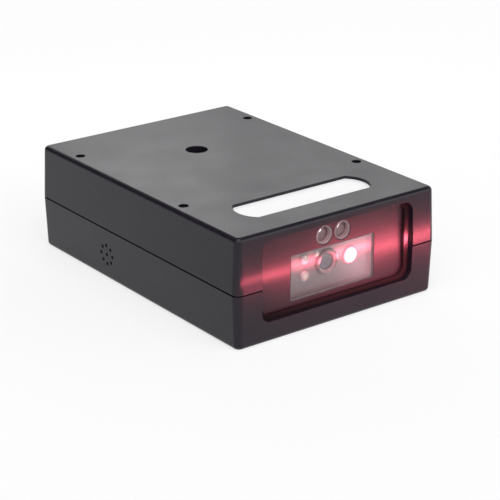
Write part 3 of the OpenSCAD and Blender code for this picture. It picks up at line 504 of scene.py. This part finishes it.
def stand_in(form, name, slot, *nodes):
    mesh = bpy.data.meshes.new(name)
    for face in form.faces:
        face.smooth = True
    for edge in form.edges:
        edge.smooth = edge.calc_face_angle(0) < SHARP
    form.to_mesh(mesh)
    form.free()
    if "custom_normal" in mesh.attributes:
        mesh.attributes.remove(mesh.attributes["custom_normal"])
    mesh.materials.append(finishes[slot])
    piece = bpy.data.objects.new(name, mesh)
    bpy.context.scene.collection.objects.link(piece)
    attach(piece, "root")
    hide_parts(*nodes)
    weighted = piece.modifiers.new("even_shading", "WEIGHTED_NORMAL")
    weighted.keep_sharp = True
    print(name, "faces:", len(mesh.polygons))
    return piece


print("an edge is sharp above, in degrees:", round(math.degrees(SHARP)))

# %% [markdown]
# ## Halves of the case
#
# The two halves are large shells with many ribs and posts inside that nobody sees. Bevelling
# every edge would waste faces on those, so only the rims on the outer skin are taken: edges
# that have the skin on one side and something else on the other.

# %% Halves of the case
HALF_WIDTH, HALF_DEPTH, HEIGHT = cad_box[1].x, cad_box[1].y, cad_box[1].z
LEAN = 1.0 * MM  # how far a leaning wall may lie inside the case's box
TOP_SLACK, BOTTOM_SLACK = 0.1 * MM, 0.05 * MM
OUTWARD = 0.9  # least cosine between a face's normal and its side's
CASE_EDGE = 0.12  # radius in mm


def is_skin(face):
    middle, facing = face.calc_center_median(), face.normal
    side = abs(facing.x) > OUTWARD and abs(middle.x) > HALF_WIDTH - LEAN and facing.x * middle.x > 0
    end = abs(facing.y) > OUTWARD and abs(middle.y) > HALF_DEPTH - LEAN and facing.y * middle.y > 0
    top = facing.z > OUTWARD and middle.z > HEIGHT - TOP_SLACK
    bottom = facing.z < -OUTWARD and middle.z < BOTTOM_SLACK
    return side or end or top or bottom


for half in ("upper", "lower"):
    form = merged_copy(half + "_housing")
    rims = [edge for edge in sharp_edges(form) if sum(is_skin(face) for face in edge.link_faces) == 1]
    soften(form, rims, CASE_EDGE)
    stand_in(form, half + "_shell", "case_plastic", half + "_housing")
    print(half, "rim edges softened:", len(rims))

# %% [markdown]
# ## Front plate, gasket, plaque and socket
#
# These are small mouldings and a punched plate with few edges, so all their sharp edges can be
# softened. The radius is in millimetres, and the plaque has the smallest, since thin plate keeps
# a crisper edge than moulded plastic or rubber.

# %% Front plate, gasket, plaque and socket
for name, slot, radius in (
    ("faceplate", "faceplate_plastic", 0.12),
    ("window_gasket", "gasket_rubber", 0.12),
    ("name_plate", "plaque_white", 0.06),
    ("interface_socket", "socket_black", 0.1),
):
    form = merged_copy(name)
    soften(form, sharp_edges(form), radius)
    stand_in(form, name + "_moulding", slot, name)

# %% [markdown]
# ## Clear window
#
# The pane is a thick clear block that stands in the hole of the front plate. Its faces are
# polished and its edges come frosted from the tool, so from the side one sees the far edges as
# pale strips. The faces that look sideways get a second, frosted finish that still mirrors a
# little; the others stay clear.

# %% Clear window
PANE_EDGE = 0.08  # radius in mm
AHEAD = 0.97  # least cosine to the front or the back of a face that is clear
FROST = ((0.22, 0.205, 0.215), (0.26, 0.245, 0.255), 0.3, 0.1, 0.004, 0.5)
frosted = moulded_plastic("acrylic_edge", *FROST)
form = merged_copy("scan_window")
soften(form, sharp_edges(form), PANE_EDGE)
for face in form.faces:
    face.material_index = 1 if abs(face.normal.y) < AHEAD else 0
pane = stand_in(form, "scan_window_moulding", "clear_acrylic", "scan_window")
pane.data.materials.append(frosted)
print("frosted faces:", sum(face.material_index for face in pane.data.polygons))

# %% [markdown]
# ## Lenses of the two lamps
#
# Each lamp hole holds a small cup-shaped lens with a sunk dome, moulded in smoky, slightly
# milky plastic. Milk scatters light inside the plastic, so the shader is mostly subsurface
# scatter with a little transmission. The CAD shape is right and only needs its rim softened.
# The tool left the dome polished, the cup's wall rough and its rim duller, so there are three
# finishes, chosen by where a face lies and which way it looks. The wall also gets a far lighter
# tint than the dome, which paints on it the light that falls into the cup from above.

# %% Lenses of the two lamps
CUP_EDGE = 0.07  # radius in mm
RIM_DEPTH = 0.02 * MM
CUP_AHEAD = 0.6  # least cosine to the front of a face that isn't the cup's wall
CUP_TONES = {  # tint, index of refraction, roughness, height of the waves in mm
    "smoky_lens": ((0.145, 0.135, 0.14), 1.5, 0.07, 0.002),
    # the wall's light tint is painted light: the light that falls into the cup from above
    "cup_wall": ((0.36, 0.34, 0.35), 1.5, 0.35, 0.002),
    "cup_rim": ((0.15, 0.14, 0.145), 1.5, 0.3, 0.002),
}
cup_finishes = [clear_plastic(name, *recipe) for name, recipe in CUP_TONES.items()]
for milk in cup_finishes:
    set_all(principled(milk), Transmission_Weight=0.15, Subsurface_Weight=0.8,
            Subsurface_Radius=(1, 1, 1), Subsurface_Scale=0.8 * MM)
for side in ("left", "right"):
    form = merged_copy("lamp_lens_" + side)
    soften(form, sharp_edges(form), CUP_EDGE)
    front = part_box("lamp_lens_" + side)[0].y
    for face in form.faces:
        on_rim = face.calc_center_median().y < front + RIM_DEPTH
        face.material_index = 2 if on_rim else 1 if abs(face.normal.y) < CUP_AHEAD else 0
    cup = stand_in(form, "lamp_lens_" + side + "_cup", "lamp_clear", "lamp_lens_" + side)
    cup.data.materials[0] = cup_finishes[0]
    for extra in cup_finishes[1:]:
        cup.data.materials.append(extra)

# %% [markdown]
# ## Spun pieces
#
# The small lamps and the camera lens are round, so each is a short profile that is spun about
# the piece's own axis. A profile is written as pairs of distance from the axis and height above
# the board, both in millimetres. The arc of a dome comes from the circle through its rim.

# %% Helpers for spun pieces
SAME_CORNER = 0.001 * MM
ARC_STEPS = 10


def turn(form, profile, centre, finish_index, steps):
    known = set(form.faces)
    corners = [form.verts.new(centre + Vector((radius, -rise, 0)) * MM) for radius, rise in profile]
    edges = [form.edges.new(pair) for pair in zip(corners, corners[1:])]
    bmesh.ops.spin(form, geom=corners + edges, cent=centre, axis=(0, 1, 0), angle=math.tau,
                   steps=steps, use_merge=True)
    bmesh.ops.remove_doubles(form, verts=form.verts, dist=SAME_CORNER)
    made = [face for face in form.faces if face not in known]
    for face in made:
        face.material_index = finish_index
    bmesh.ops.recalc_face_normals(form, faces=made)


def arc(rim, low, high):
    ball = (rim ** 2 + (high - low) ** 2) / (2 * (high - low))
    widest = math.asin(min(1, rim / ball))
    angles = [widest * k / ARC_STEPS for k in range(ARC_STEPS, -1, -1)]
    return [(ball * math.sin(angle), high - ball + ball * math.cos(angle)) for angle in angles]


def seat_of(low, high):
    return Vector(((low.x + high.x) / 2, high.y, (low.z + high.z) / 2))


print("points in an arc:", len(arc(1.2, 0.4, 1.2)))

# %% [markdown]
# ## Small domed lamps
#
# Each lamp on the pale board is a white ceramic foot with a shallow well, a spot of yellow
# phosphor in the well, and a clear dome cast over both. All three are spun. The foot is tinted
# mid grey rather than white, which paints shade as a dark ring round each dome. The resin is
# slightly milky, so part of the dome's shader is plain white.

# %% Small domed lamps
WELL_SHARE = 0.62  # of the foot's radius
LAMP_ROUND, SPOT_ROUND = 40, 24  # steps of a spin
# the foot's mid grey is painted shade: the dark ring round each dome
ceramic = moulded_plastic("lamp_ceramic", (0.42, 0.41, 0.41), (0.50, 0.49, 0.49), 0.5, 0.1)
phosphor = moulded_plastic("lamp_phosphor", (0.78, 0.66, 0.30), (0.84, 0.74, 0.40), 0.7, 0.06, 0.01)
milky = clear_plastic("milky_resin", (0.86, 0.84, 0.85), 1.5, 0.08, 0.002)
set_all(principled(milky), Transmission_Weight=0.65)
for place_name in ("upper", "lower", "inner"):
    low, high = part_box("illumination_led_" + place_name)
    radius, tip = (high.x - low.x) / 2 / MM, (high.y - low.y) / MM
    well = WELL_SHARE * radius
    dome = [(0, 0.36), (radius - 0.14, 0.36)] + arc(radius - 0.12, 0.38, tip)
    foot = [(0, 0), (radius, 0), (radius, 0.30), (radius - 0.05, 0.35),
            (well, 0.35), (well - 0.12, 0.2), (0, 0.2)]
    spot = [(0, 0.205), (well - 0.14, 0.205), (well - 0.08, 0.31), (0, 0.34)]
    form = bmesh.new()
    spun = ((dome, LAMP_ROUND), (foot, LAMP_ROUND), (spot, SPOT_ROUND))
    for index, (profile, steps) in enumerate(spun):
        turn(form, profile, seat_of(low, high), index, steps)
    lamp = stand_in(form, "domed_lamp_" + place_name, "lamp_clear", "illumination_led_" + place_name)
    lamp.data.materials[0] = milky
    lamp.data.materials.append(ceramic)
    lamp.data.materials.append(phosphor)

# %% [markdown]
# ## Camera lens
#
# The barrel is a turned grey tube with a stepped mouth that keeps stray light out, and a
# slightly bulged front glass sits in it. The steps are what one sees of a real lens, so they
# are modelled: the profile goes down the outside, over the rim, and back along each step.

# %% Barrel of the camera lens
THROAT, RIM, LIP, SHOULDER, LANDING = 1.6, 0.15, 0.45, 0.5, 0.06  # mm
STEP_IN, STEP_BACK, STEPS = 0.12, 0.24, 3
MOUTH_DEPTH, GLASS_FIT = 0.85, 0.02  # mm
LENS_ROUND = 64  # steps of a spin
low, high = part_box("lens_barrel")
radius, length = (high.x - low.x) / 2 / MM, (high.y - low.y) / MM
seat = seat_of(low, high)
glass_low, glass_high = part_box("lens_glass")
glass_radius = (glass_high.x - glass_low.x) / 2 / MM
glass_back, glass_tip = (high.y - glass_high.y) / MM, (high.y - glass_low.y) / MM
bore = glass_radius + GLASS_FIT
mouth = [(THROAT, 0), (radius, 0), (radius, length - RIM), (radius - RIM, length), (radius - LIP, length)]
for step in range(1, STEPS + 1):
    inward, depth = STEP_IN * step, STEP_BACK * step
    mouth += [(radius - LIP - inward, length - depth + LANDING),
              (radius - SHOULDER - inward, length - depth)]
mouth += [(bore, length - MOUTH_DEPTH), (bore, glass_back), (THROAT, glass_back), (THROAT, 0)]
form = bmesh.new()
turn(form, mouth, seat, 0, LENS_ROUND)
barrel = stand_in(form, "lens_barrel_turned", "engine_black", "lens_barrel")
barrel.data.materials[0] = moulded_plastic(
    "barrel_grey", (0.21, 0.205, 0.21), (0.24, 0.235, 0.24), 0.42, 0.1, 0.003, 0.5)

# %% Glass of the camera lens
BULGE = 0.5  # mm
glass_rim = glass_tip - BULGE
outline = [(0, glass_back), (glass_radius, glass_back), (glass_radius, glass_rim)]
outline += arc(glass_radius, glass_rim, glass_tip)[1:]
form = bmesh.new()
turn(form, outline, seat, 0, LENS_ROUND)
stand_in(form, "lens_glass_ground", "lens_glass", "lens_glass")

# %% [markdown]
# ## Light of the aiming lamp
#
# The aiming lamp is lit. Its dome glows, and its red light runs as a band along the front and
# over the pale board. A dome behind thick plastic lights what is in front of it only by rare
# bent paths, which render as noise, so strips of red light stand for that band. Thin strips
# give the band itself on the front wall, the sunk plate and the board, and broad ones its soft
# skirt; two more are for the gasket and the sunk lenses. A strip that is nearer is mirrored as
# a narrower band, so the plate's strip is turned to let its band narrow to the left. The camera
# sees none of them, and light linking keeps each on its own pieces and sets what shades it.

# %% Light of the aiming lamp
AIM_RED, AIM_PINK = (1.0, 0.13, 0.19), (1.0, 0.45, 0.52)
LEVEL, TURNED = (0.95, 0), (3.95, -4.3)  # slope and turn in degrees
lit = {
    "case": ("upper_shell", "lower_shell"),
    "front": ("faceplate_moulding", "window_gasket_moulding"),
    "gasket": ("window_gasket_moulding",),
    "board": ("illumination_board", "lens_barrel_turned",
              "domed_lamp_upper", "domed_lamp_lower", "domed_lamp_inner"),
    "cups": ("lamp_lens_left_cup", "lamp_lens_right_cup"),
}
strips = (  # what it lights, what shades it, colour, middle and size in mm, watts, slope and turn
    ("case", None, AIM_RED, (-24.6, -49.2, 16.3), (14, 1.4), 0.0014, LEVEL),
    ("case", None, AIM_RED, (36, -54.5, 12.7), (20, 2.4), 0.0063, LEVEL),
    ("case", None, AIM_RED, (36.5, -56, 9.3), (18, 10), 0.0014, LEVEL),
    ("case", None, AIM_RED, (25, -70, 4.6), (84, 4.0), 0.0165, LEVEL),
    ("front", None, AIM_RED, (6.0, -49.735, 11.95), (52, 1.6), 0.0131, TURNED),
    ("front", None, AIM_RED, (30, -60, 7.1), (34, 4.6), 0.0115, LEVEL),
    ("front", None, AIM_RED, (27, -70, 2.2), (74, 4.0), 0.0135, LEVEL),
    ("board", None, AIM_RED, (2, -39.42, 15.4), (26, 1.4), 0.0018, LEVEL),
    ("board", "cups", AIM_RED, (3, -46, 16), (26, 8.0), 0.0058, LEVEL),
    ("board", "cups", AIM_PINK, (15, -45.5, 14), (9, 9.0), 0.0036, LEVEL),
    ("gasket", "cups", AIM_RED, (23.5, -44.4, 16.0), (3, 1.5), 0.0120, LEVEL),
    ("cups", "cups", AIM_RED, (-6, -60, 34), (60, 10), 0.0090, LEVEL),
)
groups = {name: bpy.data.collections.new("lit_" + name) for name in lit}
for name, pieces in lit.items():
    for piece in pieces:
        groups[name].objects.link(bpy.data.objects[piece])
for number, (name, shade, colour, middle, size, power, lean) in enumerate(strips):
    glow = bpy.data.lights.new("glow_%s_%d" % (name, number), "AREA")
    glow.shape, glow.size, glow.size_y = "RECTANGLE", size[0] * MM, size[1] * MM
    glow.color, glow.energy = colour, power
    strip = bpy.data.objects.new(glow.name, glow)
    strip.location = Vector(middle) * MM
    strip.rotation_euler = [math.radians(angle) for angle in (90, *lean)]
    strip.visible_camera = strip.visible_transmission = False
    strip.light_linking.receiver_collection = groups[name]
    strip.light_linking.blocker_collection = groups.get(shade)
    bpy.context.scene.collection.objects.link(strip)
print("strips of red light:", len(strips))

# %% [markdown]
# ## Highlights on the small lenses
#
# Small convex lenses show a studio lamp as one bright point each. A lamp that is strong enough
# for that would bleach everything else, so three soft lamps are linked to the lenses alone, give
# only mirrored light, and pass the pane, which would otherwise shade them. The sunk lenses hide
# the upper part of their domes, so each has a lamp that stands low and nearly straight ahead.

# %% Highlights on the small lenses
LAMP_DISTANCE = 50  # mm
LOW_AHEAD = (0.32, -0.945, 0.05)
domes = ("domed_lamp_upper", "domed_lamp_lower", "domed_lamp_inner", "lens_glass_ground")
highlights = (  # name, pieces, place in mm that it is seen from, direction, width in mm, watts
    ("highlight_domes", domes, (-6, -39, 14.5), (0.29, -0.69, 0.66), 40, 0.080),
    ("highlight_left", ("lamp_lens_left_cup",), (-2.9, -41, 22.9), LOW_AHEAD, 13, 0.085),
    ("highlight_right", ("lamp_lens_right_cup",), (2.9, -41, 22.9), LOW_AHEAD, 13, 0.050),
)
for name, pieces, seen_from, towards, width, power in highlights:
    linked = bpy.data.collections.new("mirrors_" + name)
    for piece in pieces:
        linked.objects.link(bpy.data.objects[piece])
    light = bpy.data.lights.new(name, "AREA")
    light.shape, light.size, light.energy = "DISK", width * MM, power
    lamp = bpy.data.objects.new(name, light)
    lamp.location = (Vector(seen_from) + LAMP_DISTANCE * Vector(towards)) * MM
    lamp.rotation_euler = shine_from(towards)
    lamp.visible_camera = lamp.visible_transmission = lamp.visible_diffuse = False
    lamp.light_linking.receiver_collection = linked
    lamp.light_linking.blocker_collection = linked
    bpy.context.scene.collection.objects.link(lamp)
print("lamps for highlights:", len(highlights))

# %% [markdown]
# ## Size
#
# The CAD part's box, kept from the start, is printed in millimetres.

# %% Size
print("cad", [[round(v / MM, 2) for v in corner] for corner in cad_box])
